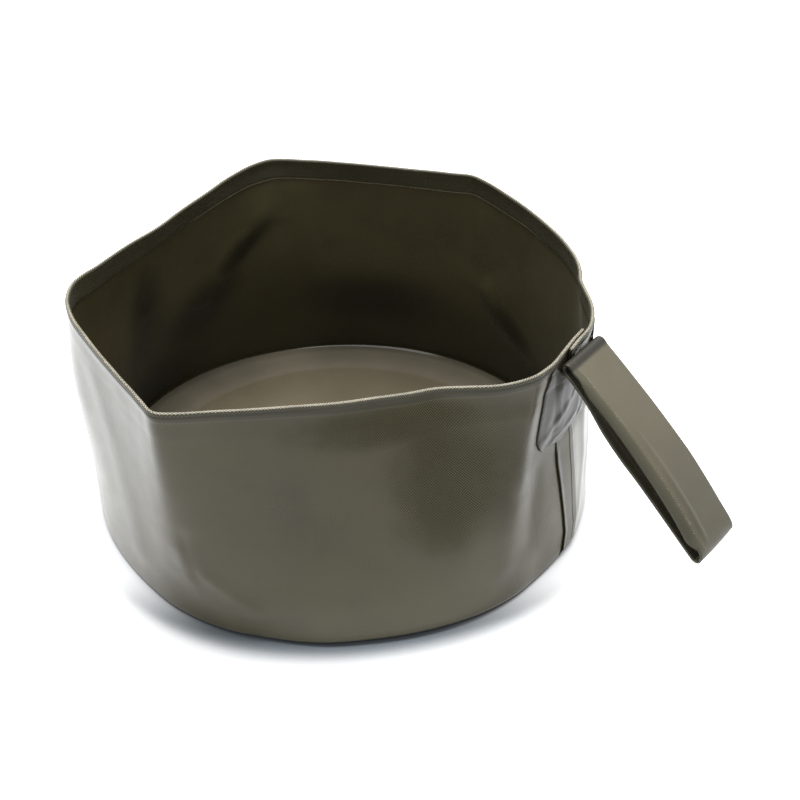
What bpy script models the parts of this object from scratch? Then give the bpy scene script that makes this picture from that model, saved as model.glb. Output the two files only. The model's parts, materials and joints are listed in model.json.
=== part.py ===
"""Collapsible camp washbasin of coated cloth, standing open on its base.

A round welded floor disc, one wrap-around wall strip whose ends are lapped, a top edge
folded in over a round cord, and a doubled strap handle welded on under a cloth patch.
The wall is round at the floor and leans into a soft six-cornered rim.

The origin is the middle of the floor disc's underside, +Z is up and the handle points
along +X. All lengths are in metres, and all angles in the tables are in degrees.
"""

import math

import bmesh
import bpy
from mathutils import Vector

# Basin
base_radius = 0.125
wall_length = 0.1203  # up the slant of the wall, from the floor to the top of the rim
cloth = 0.00045
gap = 0.0003  # between pieces that are welded or lie on each other

# Rim
cord_radius = 0.0004
bead_lip = 0.0006  # how far the bead stands out past the wall below it
hem_depth = 0.0125
neck_depth = 0.0045

# Lap of the wall strip
lap_side = 0.020  # the lap's middle at the rim, along +Y from the X axis
lap_width = 0.020
lap_ease = 0.017  # length over which a run bends aside for the lap
lap_settle = 0.018  # height over which the bent runs come back together below the hem

# Foot of the wall
foot_width = 0.022
foot_bend = 0.003
disc_ramp = 0.002

# Handle
handle_side = 0.017  # the handle's middle, along +Y from the X axis
strap_width = 0.030
strap_length = 0.1045
strap_depth = 0.0086
strap_thickness = 0.0011
root_radius = 0.0010
swing_room = 0.0013  # between the loop's root and the strap ends below it
hinge_out = 0.0044  # past the rim's outer edge, at the handle's middle
hinge_drop = 0.0055  # down from the top of the rim
droop = math.radians(46.5)

# Strap ends and patch
patch_width = 0.060
patch_height = 0.0335
patch_ease = 0.0025
ends_height = 0.030

# The rim's outer edge: turn in degrees from +X, share of base_radius.
rim_outline_shares = (
    (3.2, 0.989),
    (9.0, 0.987),
    (14.0, 0.996),
    (17.5, 0.998),
    (21.5, 0.992),
    (25.5, 0.976),
    (30.5, 0.952),
    (35.0, 0.938),
    (39.5, 0.944),
    (44.5, 0.947),
    (52.0, 0.943),
    (66.0, 0.943),
    (79.0, 0.966),
    (88.5, 1.001),
    (93.0, 1.013),
    (98.5, 0.985),
    (110.0, 0.957),
    (123.0, 0.969),
    (135.0, 1.016),
    (140.0, 1.048),
    (143.6, 1.064),
    (148.0, 1.040),
    (155.5, 0.970),
    (165.0, 0.899),
    (176.0, 0.860),
    (187.0, 0.846),
    (198.0, 0.877),
    (209.5, 0.935),
    (217.5, 1.007),
    (224.0, 1.025),
    (231.0, 1.019),
    (241.0, 1.004),
    (252.0, 1.007),
    (261.5, 1.032),
    (267.5, 1.058),
    (271.3, 1.078),
    (275.0, 1.050),
    (283.0, 0.968),
    (296.0, 0.868),
    (308.0, 0.819),
    (317.0, 0.794),
    (326.0, 0.799),
    (332.5, 0.815),
    (338.5, 0.875),
    (344.0, 0.940),
    (350.0, 0.980),
    (356.5, 0.991),
)

# Main folds of the wall: turn and spread in degrees, middle and spread up the wall as
# shares of its height, depth as a share of the foot bend (in is less than zero).
fold_shares = (
    (206.0, 7.0, 0.50, 0.26, -0.70),
    (233.0, 8.0, 0.42, 0.25, 0.75),
    (256.0, 7.0, 0.38, 0.22, -0.95),
    (283.0, 11.0, 0.40, 0.25, 0.60),
    (325.0, 9.0, 0.45, 0.28, 0.75),
    (343.0, 7.0, 0.50, 0.24, -0.70),
    (60.0, 10.0, 0.45, 0.28, -0.60),
    (118.0, 12.0, 0.50, 0.30, 0.65),
    (168.0, 10.0, 0.45, 0.28, -0.55),
)

# The strap's loop seen along +Y: share of strap_length away from the hinge, and share
# of strap_depth above the line that the strap droops along.
strap_upper_shares = (
    (0.030, 0.230),
    (0.080, 0.340),
    (0.200, 0.520),
    (0.320, 0.690),
    (0.460, 0.755),
    (0.600, 0.775),
    (0.740, 0.745),
    (0.880, 0.620),
    (0.960, 0.510),
    (0.988, 0.300),
)
strap_lower_shares = (
    (0.988, 0.010),
    (0.940, -0.055),
    (0.800, -0.060),
    (0.690, -0.080),
    (0.570, -0.140),
    (0.450, -0.220),
    (0.320, -0.270),
    (0.170, -0.200),
    (0.070, -0.150),
)

# How finely the curved pieces are cut
turn_steps = 96
wall_rows = 5
span_steps = 3
arc_steps = 6
cord_sides = 6

# Worked out from the sizes above
bead_radius = cord_radius + gap + cloth
bead_middle = bead_lip - bead_radius
bead_step = 2 * bead_radius + gap
layer_step = cloth + gap
handle_turn = handle_side / base_radius
lap_turn = lap_width / base_radius
lap_start = (lap_side - lap_width / 2) / base_radius
lap_end = (lap_side + lap_width / 2) / base_radius
ease_turn = lap_ease / base_radius
strip_end = lap_end + 2 * math.pi
curl_end_angle = math.radians(-50)
neck_angle = math.radians(200)
wall_top_drop = bead_radius * (1 - math.sin(curl_end_angle)) + gap
wall_foot_height = foot_bend + gap
ends_drop = hinge_drop + root_radius + strap_thickness / 2 + swing_room
patch_drop = ends_drop + gap


def clear_scene():
    for item in list(bpy.data.objects):
        bpy.data.objects.remove(item, do_unlink=True)


def make_material(name, colour, roughness):
    material = bpy.data.materials.new(name)
    material.use_nodes = True
    shader = material.node_tree.nodes["Principled BSDF"]
    shader.inputs["Base Color"].default_value = (*colour, 1.0)
    shader.inputs["Roughness"].default_value = roughness
    shader.inputs["Metallic"].default_value = 0.0
    return material


def ease(share):
    share = min(max(share, 0.0), 1.0)
    return share * share * (3 - 2 * share)


def rim_share(turn):
    """Share of base_radius at which the rim's outer edge lies, by a cubic through the table."""
    degrees = math.degrees(turn) % 360
    count = len(rim_outline_shares)
    first = max((k for k in range(count) if rim_outline_shares[k][0] <= degrees), default=-1)

    def knot(k):
        laps, place = divmod(k, count)
        at, share = rim_outline_shares[place]
        return at + 360 * laps, share

    knots = [knot(first + k) for k in (-1, 0, 1, 2)]
    width = knots[2][0] - knots[1][0]
    slopes = [
        (knots[k + 1][1] - knots[k - 1][1]) / (knots[k + 1][0] - knots[k - 1][0]) for k in (1, 2)
    ]
    u = (degrees - knots[1][0]) / width
    start = (1 + 2 * u) * (1 - u) ** 2 * knots[1][1] + u * (1 - u) ** 2 * width * slopes[0]
    finish = u * u * (3 - 2 * u) * knots[2][1] + u * u * (u - 1) * width * slopes[1]
    return start + finish


def top_radius(turn):
    return base_radius * rim_share(turn) - bead_lip


def rim_height(turn):
    """The wall keeps its length up the slant, so it stands lower where it leans."""
    return math.sqrt(wall_length**2 - (top_radius(turn) - base_radius) ** 2)


def hinge_place():
    """The strap's hinge stands just outside the rim, at the handle's middle."""
    edge = base_radius * rim_share(handle_turn) * math.cos(handle_turn)
    return Vector((edge + hinge_out, handle_side, rim_height(handle_turn) - hinge_drop))


def fold_depth(turn, rise):
    depth = 0.0
    for at, spread, middle, reach, share in fold_shares:
        away = (math.degrees(turn) - at + 180) % 360 - 180
        depth += share * math.exp(-((away / spread) ** 2) - ((rise - middle) / reach) ** 2)
    return depth * foot_bend * math.sin(math.pi * min(max(rise, 0.0), 1.0))


def wall_radius(turn, rise):
    lean = (top_radius(turn) - base_radius) * rise
    return base_radius + lean + fold_depth(turn, rise)


def wall_normal(turn, rise):
    """Level direction out of the wall."""
    step = math.radians(0.5)
    ahead = Vector((math.cos(turn + step), math.sin(turn + step))) * wall_radius(turn + step, rise)
    behind = Vector((math.cos(turn - step), math.sin(turn - step))) * wall_radius(turn - step, rise)
    along = (ahead - behind).normalized()
    return Vector((along.y, -along.x))


def wall_point(turn, height, out):
    """A point out from the wall's outer face, at a height above the floor."""
    rise = height / rim_height(turn)
    flat = Vector((math.cos(turn), math.sin(turn))) * wall_radius(turn, rise)
    flat += wall_normal(turn, rise) * out
    return Vector((flat.x, flat.y, height))


def lap_gap(below):
    """Step between the two runs of the lap: a whole bead at the rim, one layer lower down."""
    settled = ease((below - hem_depth - gap) / lap_settle)
    return bead_step + (layer_step - bead_step) * settled


def lap_shift(turn, below):
    """How far the strip bends aside: out at its first end, in at its last."""
    outer = 1 - ease((turn - lap_end) / ease_turn)
    inner = ease((turn - (lap_start + 2 * math.pi - ease_turn)) / ease_turn)
    return lap_gap(below) / 2 * (outer - inner)


def strip_turns(trim=0.0):
    """Turns along the strip from its outer end to its inner end, closer at the corners."""
    first = lap_start + trim
    last = strip_end - trim
    knots = [math.radians(degrees) for degrees, share in rim_outline_shares]
    inner_knots = [k for k in knots if first + ease_turn / 4 < k < 2 * math.pi + first]
    marks = [first, *inner_knots, 2 * math.pi + lap_start - ease_turn / 2, last]
    marks = sorted(m for m in marks if first <= m <= last)
    turns = []
    for start, finish in zip(marks, marks[1:]):
        pieces = max(1, round((finish - start) / (2 * math.pi / turn_steps)))
        turns += [start + (finish - start) * k / pieces for k in range(pieces)]
    return turns + [last]


def sweep(name, sections, closed=False):
    """One closed body through sections that all have the same number of points."""
    shape = bmesh.new()
    rings = [[shape.verts.new(point) for point in section] for section in sections]
    count = len(rings[0])
    pairs = list(zip(rings, rings[1:]))
    if closed:
        pairs.append((rings[-1], rings[0]))
    for near, far in pairs:
        for k in range(count):
            after = (k + 1) % count
            shape.faces.new((near[k], near[after], far[after], far[k]))
    if not closed:
        shape.faces.new(rings[0][::-1])
        shape.faces.new(rings[-1])
    return finish_piece(name, shape)


def turned(name, profile):
    """A profile of (radius, height) points turned once round the Z axis."""
    shape = bmesh.new()
    verts = [shape.verts.new((radius, 0, height)) for radius, height in profile]
    edges = [shape.edges.new(pair) for pair in zip(verts, verts[1:])]
    if profile[0][0] > 0:
        edges.append(shape.edges.new((verts[-1], verts[0])))
    bmesh.ops.spin(
        shape,
        geom=verts + edges,
        axis=(0, 0, 1),
        cent=(0, 0, 0),
        steps=turn_steps,
        angle=2 * math.pi,
        use_merge=True,
    )
    bmesh.ops.remove_doubles(shape, verts=shape.verts, dist=gap / 100)
    return finish_piece(name, shape)


def finish_piece(name, shape):
    bmesh.ops.recalc_face_normals(shape, faces=shape.faces)
    mesh = bpy.data.meshes.new(name)
    shape.to_mesh(mesh)
    shape.free()
    mesh.shade_smooth()
    mesh.set_sharp_from_angle(angle=math.radians(40))
    piece = bpy.data.objects.new(name, mesh)
    bpy.context.collection.objects.link(piece)
    return piece


def arc(middle, radius, start, finish, steps):
    """Points of (out, up) on an arc, with both of its ends."""
    angles = [start + (finish - start) * k / steps for k in range(steps + 1)]
    return [(middle[0] + radius * math.cos(a), middle[1] + radius * math.sin(a)) for a in angles]


def make_base_disc():
    """The floor: flat on the ground in the middle, and up over the wall's turned-in foot."""
    ring = base_radius - foot_bend
    step_out = base_radius - foot_width - gap
    step_in = step_out - disc_ramp
    lift = cloth + gap
    profile = [
        (0, 0),
        (step_in, 0),
        (step_out, lift),
        (ring, lift),
        (ring, lift + cloth),
        (step_out, lift + cloth),
        (step_in, cloth),
        (0, cloth),
    ]
    return turned("base_disc", profile)


def make_wall_foot():
    """The wall's lower edge, turned in under the floor disc and welded to it."""
    middle = (base_radius - foot_bend, foot_bend)
    outer = arc(middle, foot_bend, math.radians(-90), 0, arc_steps // 2)
    inner = arc(middle, foot_bend - cloth, 0, math.radians(-90), arc_steps // 2)
    inner_edge = base_radius - foot_width
    profile = [(inner_edge, 0), *outer, *inner, (inner_edge, cloth)]
    return turned("wall_foot", profile)


def wall_heights(turn):
    """Heights of the wall's rows of points: even below the lap's bend, then close behind the hem."""
    top = rim_height(turn)
    hem_low = top - hem_depth - gap
    settled = hem_low - lap_settle
    even = [
        wall_foot_height + (settled - wall_foot_height) * row / wall_rows
        for row in range(wall_rows + 1)
    ]
    return [*even, (settled + hem_low) / 2, hem_low, top - wall_top_drop]


def make_wall_panel():
    """The wall strip from the foot's bend to just under the bead, with its ends lapped."""
    sections = []
    for turn in strip_turns():
        heights = wall_heights(turn)
        shifts = [lap_shift(turn, rim_height(turn) - height) for height in heights]
        outer = [wall_point(turn, z, s) for z, s in zip(heights, shifts)]
        inner = [wall_point(turn, z, s - cloth) for z, s in zip(heights, shifts)]
        sections.append(outer + inner[::-1])
    return sweep("wall_panel", sections)


def hem_section():
    """The folded-in top edge as (out, up) from the rim's top: an inner leg and a curl."""
    middle = (bead_middle, -bead_radius)
    leg_out = -cloth - gap
    leg_in = leg_out - cloth
    outer = arc(middle, bead_radius, neck_angle, curl_end_angle, arc_steps)
    inner = arc(middle, bead_radius - cloth, curl_end_angle, neck_angle, arc_steps)
    low = [(leg_in, -hem_depth), (leg_in, -neck_depth)]
    high = [(leg_out, -neck_depth), (leg_out, -hem_depth)]
    return low + outer + inner + high


def swept_on_rim(name, section, trim=0.0):
    sections = []
    for turn in strip_turns(trim):
        top = rim_height(turn)
        sections.append(
            [wall_point(turn, top + up, out + lap_shift(turn, -up)) for out, up in section]
        )
    return sweep(name, sections)


def make_rim_hem():
    return swept_on_rim("rim_hem", hem_section())


def make_rim_cord():
    middle = (bead_middle, -bead_radius)
    circle = arc(middle, cord_radius, 0, 2 * math.pi, cord_sides)[:-1]
    return swept_on_rim("rim_cord", circle, trim=gap / base_radius)


def patch_stand(turn, below):
    """How far the lapped wall stands out under the patch."""
    outer = 1 - ease((turn - lap_end) / ease_turn)
    before = ease((turn - lap_start + ease_turn) / ease_turn)
    return lap_gap(below) / 2 * min(outer, before)


def ends_turns():
    half = strap_width / 2
    return handle_turn - half / base_radius, handle_turn + half / base_radius


def make_strap_ends():
    """The strap's two ends pressed together under the patch, up to just below the hinge."""
    first, last = ends_turns()
    drops = [ends_drop + ends_height * (1 - row / wall_rows) for row in range(wall_rows + 1)]
    stations = span_steps * 3
    sections = []
    for k in range(stations + 1):
        turn = first + (last - first) * k / stations
        outer = []
        inner = []
        for below in drops:
            height = rim_height(turn) - below
            stand = gap + patch_stand(turn, below)
            inner.append(wall_point(turn, height, stand))
            outer.append(wall_point(turn, height, stand + strap_thickness))
        sections.append(outer + inner[::-1])
    return sweep("strap_ends", sections)


def make_handle_patch():
    """The welded patch over the strap ends, pressed down on the wall all round them."""
    half = patch_width / 2 / base_radius
    first, last = ends_turns()
    stations = span_steps * 8
    rows = wall_rows * 2
    sections = []
    for k in range(stations + 1):
        turn = handle_turn - half + 2 * half * k / stations
        beside = max(first - turn, turn - last) * base_radius
        over_side = 1 - ease((beside - patch_ease) / patch_ease)
        top = rim_height(turn) - patch_drop
        ends_low = rim_height(turn) - ends_drop - ends_height
        outer = []
        inner = []
        for row in range(rows + 1):
            height = top - patch_height + patch_height * row / rows
            over_low = 1 - ease((ends_low - patch_ease - height) / patch_ease)
            lift = (strap_thickness + gap) * over_side * over_low
            stand = gap + patch_stand(turn, rim_height(turn) - height) + lift
            inner.append(wall_point(turn, height, stand))
            outer.append(wall_point(turn, height, stand + cloth))
        sections.append(outer + inner[::-1])
    return sweep("handle_patch", sections)


def smooth_loop(points):
    """A closed smooth line through points, with span_steps stretches between each two."""
    count = len(points)
    line = []
    for k in range(count):
        before, start, finish, after = (points[(k + step) % count] for step in (-1, 0, 1, 2))
        for step in range(span_steps):
            u = step / span_steps
            line.append(
                0.5
                * (
                    2 * start
                    + (finish - before) * u
                    + (2 * before - 5 * start + 4 * finish - after) * u * u
                    + (3 * start - before - 3 * finish + after) * u**3
                )
            )
    return line


def strap_line():
    """The middle of the strap's thickness round its loop, from the hinge axis."""
    points = [Vector((a * strap_length, r * strap_depth)) for a, r in strap_upper_shares]
    points += [Vector((a * strap_length, r * strap_depth)) for a, r in strap_lower_shares]
    points += [Vector((0, -root_radius)), Vector((-root_radius, 0)), Vector((0, root_radius))]
    return smooth_loop(points)


def make_handle_strap():
    """One strap doubled into a flat loop, with an open slot between its two runs."""
    line = strap_line()
    count = len(line)
    along = Vector((math.cos(droop), -math.sin(droop)))
    above = Vector((math.sin(droop), math.cos(droop)))
    half = strap_width / 2
    sections = []
    for k in range(count):
        run = (line[(k + 1) % count] - line[k - 1]).normalized()
        side = Vector((-run.y, run.x)) * strap_thickness / 2
        section = []
        for place, across in ((1, half), (1, -half), (-1, -half), (-1, half)):
            flat = line[k] + side * place
            level = along * flat.x + above * flat.y
            section.append(Vector((level.x, across, level.y)))
        sections.append(section)
    return sweep("handle_strap", sections, closed=True)


def make_empty(name, place):
    empty = bpy.data.objects.new(name, None)
    empty.location = place
    empty.empty_display_size = hem_depth
    bpy.context.collection.objects.link(empty)
    return empty


def build():
    clear_scene()
    wall_cloth = make_material("wall_cloth", (0.117, 0.105, 0.076), 0.42)
    floor_cloth = make_material("floor_cloth", (0.107, 0.093, 0.067), 0.36)
    hem_cloth = make_material("hem_cloth", (0.228, 0.205, 0.150), 0.60)
    cord_fibre = make_material("cord_fibre", (0.420, 0.390, 0.310), 0.85)
    patch_cloth = make_material("patch_cloth", (0.140, 0.135, 0.120), 0.34)
    strap_cloth = make_material("strap_cloth", (0.205, 0.180, 0.130), 0.50)

    basin = make_empty("basin", (0, 0, 0))
    rim = make_empty("rim", (0, 0, 0))
    rim.parent = basin
    handle = make_empty("handle", hinge_place())
    handle.parent = rim

    pieces = (
        (make_base_disc(), floor_cloth, basin),
        (make_wall_foot(), wall_cloth, basin),
        (make_wall_panel(), wall_cloth, basin),
        (make_rim_hem(), hem_cloth, rim),
        (make_rim_cord(), cord_fibre, rim),
        (make_strap_ends(), strap_cloth, basin),
        (make_handle_patch(), patch_cloth, basin),
        (make_handle_strap(), strap_cloth, handle),
    )
    for piece, material, parent in pieces:
        piece.data.materials.append(material)
        piece.parent = parent


build()
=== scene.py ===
import bmesh
import bpy
import json
from math import asin, atan2, cos, degrees, exp, pi, radians, sin, sqrt
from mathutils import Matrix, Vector, noise


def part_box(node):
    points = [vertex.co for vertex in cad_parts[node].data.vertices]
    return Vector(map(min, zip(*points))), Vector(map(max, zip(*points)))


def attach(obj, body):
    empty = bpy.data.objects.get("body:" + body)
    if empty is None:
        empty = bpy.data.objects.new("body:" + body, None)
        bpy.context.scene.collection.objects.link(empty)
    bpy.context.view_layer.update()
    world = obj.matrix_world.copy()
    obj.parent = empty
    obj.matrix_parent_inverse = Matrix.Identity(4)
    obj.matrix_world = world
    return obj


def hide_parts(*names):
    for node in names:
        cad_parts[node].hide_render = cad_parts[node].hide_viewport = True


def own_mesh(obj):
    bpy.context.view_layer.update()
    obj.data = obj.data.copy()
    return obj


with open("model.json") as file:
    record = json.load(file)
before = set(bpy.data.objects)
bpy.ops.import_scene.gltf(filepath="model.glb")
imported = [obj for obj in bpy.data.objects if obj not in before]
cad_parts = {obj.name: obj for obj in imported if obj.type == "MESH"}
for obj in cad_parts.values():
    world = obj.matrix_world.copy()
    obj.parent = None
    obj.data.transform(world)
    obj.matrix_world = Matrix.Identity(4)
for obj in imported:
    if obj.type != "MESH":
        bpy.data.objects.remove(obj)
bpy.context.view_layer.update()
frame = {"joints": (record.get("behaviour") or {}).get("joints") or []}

# Camera, table and light.
# The basin stands on a white table in a bright studio, under one wide soft lamp, and is
# seen from above its front left corner through a long lens.
camera_place = Vector((0.4286, -0.5486, 0.5300))
look_azimuth = radians(125.56)
look_down = radians(34.673)


def add_object(name, data):
    thing = bpy.data.objects.new(name, data)
    bpy.context.collection.objects.link(thing)
    return thing


camera_data = bpy.data.cameras.new("photo_camera")
camera_data.sensor_width = 36.0
camera_data.lens = 75.46
camera_data.clip_start = 0.01
camera_data.clip_end = 50.0
camera = add_object("photo_camera", camera_data)
camera.location = camera_place
camera.rotation_euler = (pi / 2 - look_down, 0, look_azimuth - pi / 2)
bpy.context.scene.camera = camera
bpy.context.scene.view_settings.view_transform = "Standard"


def add_node(tree, kind, **settings):
    node = tree.nodes.new(kind)
    for name, value in settings.items():
        setattr(node, name, value)
    return node


def feed(node, place, source):
    """Give an input its value, or the output of another node. place is a name or a count."""
    socket = node.inputs[place] if isinstance(place, str) else [s for s in node.inputs if s.enabled][place]
    if isinstance(source, bpy.types.NodeSocket):
        node.id_data.links.new(source, socket)
    elif socket.type == "RGBA":
        socket.default_value = (*source, 1.0)
    else:
        socket.default_value = source


def run_node(tree, kind, *sources, **settings):
    """Add a node, feed its inputs in their order, and give its first output."""
    node = add_node(tree, kind, **settings)
    for place, source in enumerate(sources):
        feed(node, place, source)
    return next(socket for socket in node.outputs if socket.enabled)


def calculate(tree, operation, *sources):
    return run_node(tree, "ShaderNodeMath", *sources, operation=operation)


def multiply(tree, first, second):
    return calculate(tree, "MULTIPLY", first, second)


def calculate_vector(tree, operation, *sources):
    return run_node(tree, "ShaderNodeVectorMath", *sources, operation=operation)


def map_range(tree, value, before, after=(0.0, 1.0)):
    """The value eased from one pair of limits to another."""
    return run_node(
        tree, "ShaderNodeMapRange", value, *before, *after, interpolation_type="SMOOTHSTEP"
    )


def mix_colour(tree, share, first, second):
    return run_node(tree, "ShaderNodeMix", share, first, second, data_type="RGBA")


def shows_white(tree):
    """1 for a ray that shows the white room: from the camera, a mirror or through glass."""
    path = add_node(tree, "ShaderNodeLightPath")
    seen = path.outputs["Is Camera Ray"]
    for ray in ("Is Glossy Ray", "Is Transmission Ray"):
        seen = calculate(tree, "MAXIMUM", seen, path.outputs[ray])
    return seen


room_light = 0.31
world = bpy.data.worlds.new("studio")
bpy.context.scene.world = world
world.use_nodes = True
room = world.node_tree
feed(room.nodes["Background"], "Color", (1.0, 1.0, 1.0))
room_strength = calculate(room, "MULTIPLY_ADD", shows_white(room), 1.0 - room_light, room_light)
feed(room.nodes["Background"], "Strength", room_strength)

lamp_data = bpy.data.lights.new("overhead", "AREA")
lamp_data.shape = "DISK"
lamp_data.size = 0.95
lamp_data.energy = 22.5
lamp = add_object("overhead", lamp_data)
lamp.location = (-0.15, 0.20, 1.40)
lamp.rotation_euler = (Vector((0, 0, 1.0)).rotation_difference(lamp.location)).to_euler()

table_reach = 4.0
table_gap = 0.0002
lee_reach = 0.020
table_shape = bmesh.new()
bmesh.ops.create_grid(table_shape, x_segments=1, y_segments=1, size=table_reach)
bmesh.ops.translate(table_shape, verts=table_shape.verts, vec=(0, 0, -table_gap))
table_mesh = bpy.data.meshes.new("table")
table_shape.to_mesh(table_mesh)
table_shape.free()
table = add_object("table", table_mesh)


def make_table_paint():
    """White paper that glows a little to the camera, less in front and not in the basin's lee, with a
    painted shadow that darkens its colour near the basin for the camera.
    """
    paint = bpy.data.materials.new("table_paint")
    paint.use_nodes = True
    tree = paint.node_tree
    shader = tree.nodes["Principled BSDF"]
    feed(shader, "Roughness", 0.9)
    feed(shader, "Specular IOR Level", 0.0)
    lee = add_node(tree, "ShaderNodeAmbientOcclusion", samples=12)
    feed(lee, "Distance", lee_reach)
    near = map_range(tree, lee.outputs["AO"], (0.65, 0.995))
    close = map_range(tree, lee.outputs["AO"], (0.25, 0.60))
    place = add_node(tree, "ShaderNodeTexCoord").outputs["Object"]
    ahead = calculate_vector(tree, "DOT_PRODUCT", place, (cos(look_azimuth), sin(look_azimuth), 0))
    behind = map_range(tree, ahead, (-0.22, -0.04), (0.22, 1.0))
    beside = map_range(tree, ahead, (-0.122, -0.074))
    glow = calculate(tree, "MAXIMUM", near, multiply(tree, beside, close))
    glow = multiply(tree, glow, behind)
    feed(shader, "Emission Color", (1.0, 1.0, 1.0))
    feed(shader, "Emission Strength", multiply(tree, glow, shows_white(tree)))
    # Painted shadow: the paper is darker near the basin as the camera sees it.
    looked = add_node(tree, "ShaderNodeLightPath").outputs["Is Camera Ray"]
    painted_shadow = multiply(tree, calculate(tree, "SUBTRACT", 1.0, near), looked)
    feed(shader, "Base Color", mix_colour(tree, painted_shadow, (0.80, 0.82, 0.84), (0.28, 0.32, 0.36)))
    return paint


table_mesh.materials.append(make_table_paint())

# Floor disc.
# One round of coated cloth, laid over the wall's turned-in lower edge and welded to it
# in a ring, so its middle sinks to the table and its rim turns up a little.
cloth = 0.00045
weld = 0.0001
base_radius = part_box("wall_foot")[1].x
foot_width = 0.022
weave_pitch = 0.00141
per_degree = 4
line_steps = 360 * per_degree


def round_line(*knots):
    """A smooth closed line through (degrees, value) knots, kept at each quarter degree."""
    count = len(knots)
    line = []
    for step in range(line_steps):
        at = step / per_degree
        first = max((k for k in range(count) if knots[k][0] <= at), default=-1)
        near = []
        for k in (first - 1, first, first + 1, first + 2):
            laps, place = divmod(k, count)
            near.append((knots[place][0] + 360 * laps, knots[place][1]))
        width = near[2][0] - near[1][0]
        slope_in = (near[2][1] - near[0][1]) / (near[2][0] - near[0][0])
        slope_out = (near[3][1] - near[1][1]) / (near[3][0] - near[1][0])
        u = (at - near[1][0]) / width
        start = (1 + 2 * u) * (1 - u) ** 2 * near[1][1] + u * (1 - u) ** 2 * width * slope_in
        finish = u * u * (3 - 2 * u) * near[2][1] + u * u * (u - 1) * width * slope_out
        line.append(start + finish)
    return line


def on_line(line, turn):
    place = degrees(turn) % 360 * per_degree
    before = int(place)
    share = place - before
    return line[before % line_steps] * (1 - share) + line[(before + 1) % line_steps] * share


def ease(share):
    share = min(max(share, 0.0), 1.0)
    return share * share * (3 - 2 * share)


# The foot stands out of round where the cloth was creased: turn, metres past base_radius.
foot_line = round_line(
    (10.0, 0.0008), (40.0, 0.0006), (70.0, -0.0006), (105.0, 0.0008), (140.0, 0.0000),
    (170.0, 0.0012), (205.0, -0.0004), (235.0, -0.0006), (250.0, -0.0006), (260.0, 0.0006),
    (270.0, 0.0028), (283.0, 0.0036), (291.0, 0.0027), (304.0, 0.0028), (313.0, 0.0019),
    (322.0, 0.0020), (331.0, 0.0024), (339.0, 0.0028), (347.0, 0.0023), (355.0, 0.0010),
)


def foot_radius(turn):
    return base_radius + on_line(foot_line, turn)


def make_noise(tree, place, scale, detail):
    return run_node(tree, "ShaderNodeTexNoise", place, scale, detail)


def split(tree, vector):
    """A vector's X and Y."""
    node = add_node(tree, "ShaderNodeSeparateXYZ")
    feed(node, 0, vector)
    return node.outputs["X"], node.outputs["Y"]


def make_coated_cloth():
    """Shader group for coated cloth: weave under the coat, soft blotches and worn specks."""
    group = bpy.data.node_groups.new("coated_cloth", "ShaderNodeTree")
    for side, kind, names in (
        ("INPUT", "Vector", ("Place",)),
        ("INPUT", "Color", ("Cloth", "Worn")),
        ("INPUT", "Float", ("Wear", "Weave", "Gloss")),
        ("OUTPUT", "Color", ("Colour",)),
        ("OUTPUT", "Float", ("Roughness",)),
        ("OUTPUT", "Vector", ("Normal",)),
    ):
        for name in names:
            group.interface.new_socket(name, in_out=side, socket_type="NodeSocket" + kind)
    given = add_node(group, "NodeGroupInput").outputs
    result = add_node(group, "NodeGroupOutput")
    rate = 2 * pi / weave_pitch
    place = given["Place"]
    waves = [calculate(group, "SINE", multiply(group, axis, rate)) for axis in split(group, place)]
    raised = multiply(group, multiply(group, *waves), given["Weave"])
    blotch = make_noise(group, place, 24.0, 4.0)
    patchy = make_noise(group, place, 90.0, 3.0)
    grain = make_noise(group, place, 1400.0, 2.0)
    tone = calculate(group, "MULTIPLY_ADD", blotch, 0.60, 0.70)
    shown = multiply(group, raised, map_range(group, blotch, (0.40, 0.62), (0.35, 1.0)))
    for source, strength in ((shown, 0.70), (given["Weave"], -0.18), (grain, 0.24)):
        tone = calculate(group, "MULTIPLY_ADD", source, strength, tone)
    tone = calculate(group, "SUBTRACT", tone, 0.12)
    shade = calculate_vector(group, "SCALE", given["Cloth"], tone)
    speck = calculate(group, "MULTIPLY_ADD", raised, 0.34, grain)
    speck = calculate(group, "MULTIPLY_ADD", patchy, 0.55, speck)
    speck = calculate(group, "ADD", speck, calculate(group, "SUBTRACT", given["Wear"], 1.42))
    worn = multiply(group, multiply(group, speck, 4.0), given["Wear"])
    worn = calculate(group, "MINIMUM", calculate(group, "MAXIMUM", worn, 0.0), 1.0)
    feed(result, "Colour", mix_colour(group, worn, shade, given["Worn"]))
    rough = calculate(group, "MULTIPLY_ADD", patchy, 0.16, given["Gloss"])
    feed(result, "Roughness", calculate(group, "MULTIPLY_ADD", worn, 0.25, rough))
    height = calculate(group, "MULTIPLY_ADD", grain, 0.35, raised)
    height = calculate(group, "MULTIPLY_ADD", patchy, 2.4, height)
    bump = add_node(group, "ShaderNodeBump")
    feed(bump, "Strength", 1.0)
    feed(bump, "Distance", 0.00005)
    feed(bump, "Height", height)
    feed(result, "Normal", bump.outputs[0])
    return group


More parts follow.
